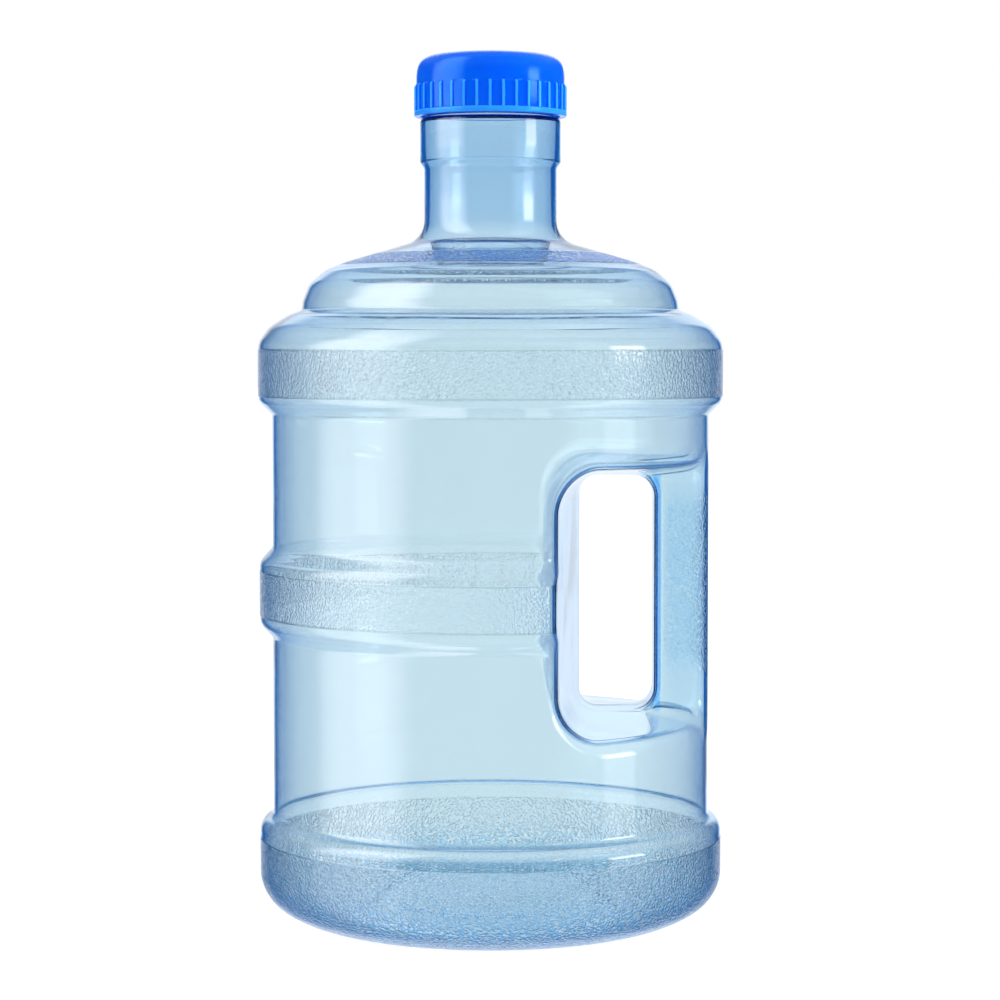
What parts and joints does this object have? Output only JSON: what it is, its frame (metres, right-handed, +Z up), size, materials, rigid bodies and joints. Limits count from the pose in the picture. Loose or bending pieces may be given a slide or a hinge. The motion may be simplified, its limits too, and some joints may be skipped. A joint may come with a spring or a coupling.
{
  "type": "large water jug",
  "caption": "Tall round clear blue water jug with a hollow side grip beside a finger window, raised bands and a screw cap with a seal.",
  "frame": {"origin": "centre of the underside, on the jug's axis and on the surface that it stands on", "axes": "+Z up along the jug's axis, +X from the axis towards the grip, +Y away from the side first seen"},
  "size_m": [0.195, 0.195, 0.3628],
  "materials": {
    "clear_blue": "clear pale blue polycarbonate, glossy, with an embossed hammered texture on its bands and grip",
    "cap_blue": "solid vivid blue polyethylene, semi-gloss",
    "seal_white": "soft off-white silicone, satin"
  },
  "bodies": {
    "bottle": {"bottle": "clear_blue"},
    "seal": {"cap_seal": "seal_white"},
    "cap": {"screw_cap": "cap_blue"}
  },
  "joints": [
    {"name": "cap_lift", "type": "slide", "parent": "bottle", "child": "seal", "axis": [0, 0, 1], "range_m": [0, 0.024]},
    {"name": "cap_turn", "type": "hinge", "parent": "seal", "child": "cap", "pos_m": [0, 0, 0.3365], "axis": [0, 0, 1], "range_deg": [0, 1440]}
  ],
  "couplings": [
    {"joint": "cap_lift", "follows": "cap_turn", "m_per_rad": 0.00095493}
  ]
}
